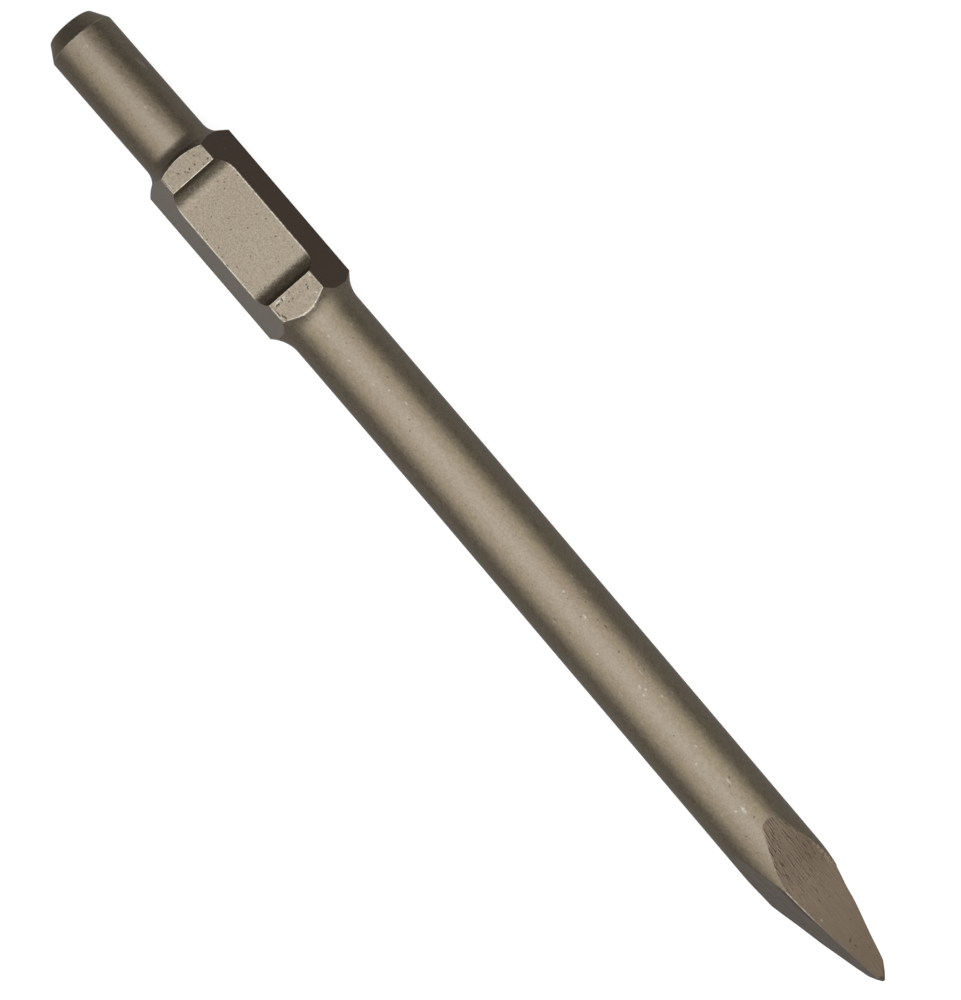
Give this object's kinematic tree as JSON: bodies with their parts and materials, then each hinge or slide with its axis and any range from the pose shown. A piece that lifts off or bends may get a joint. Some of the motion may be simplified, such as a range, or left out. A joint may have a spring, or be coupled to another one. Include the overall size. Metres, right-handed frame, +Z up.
{
  "type": "bull point chisel",
  "caption": "Pointed demolition chisel: round striking end, notched hexagon collar, long round body and four-sided ground point.",
  "frame": {"origin": "under the middle of the tool's length, on the surface that the hexagon collar's lower flat lies on", "axes": "+X along the tool from the struck face to the point, +Z up and square to the notched flat, +Y across the tool"},
  "size_m": [0.41, 0.0344, 0.03],
  "materials": {
    "forged_steel": "satin grey-brown tool steel, shot-blasted, with ground faces on the point"
  },
  "bodies": {
    "root": {"bull_point_chisel": "forged_steel"}
  },
  "joints": []
}
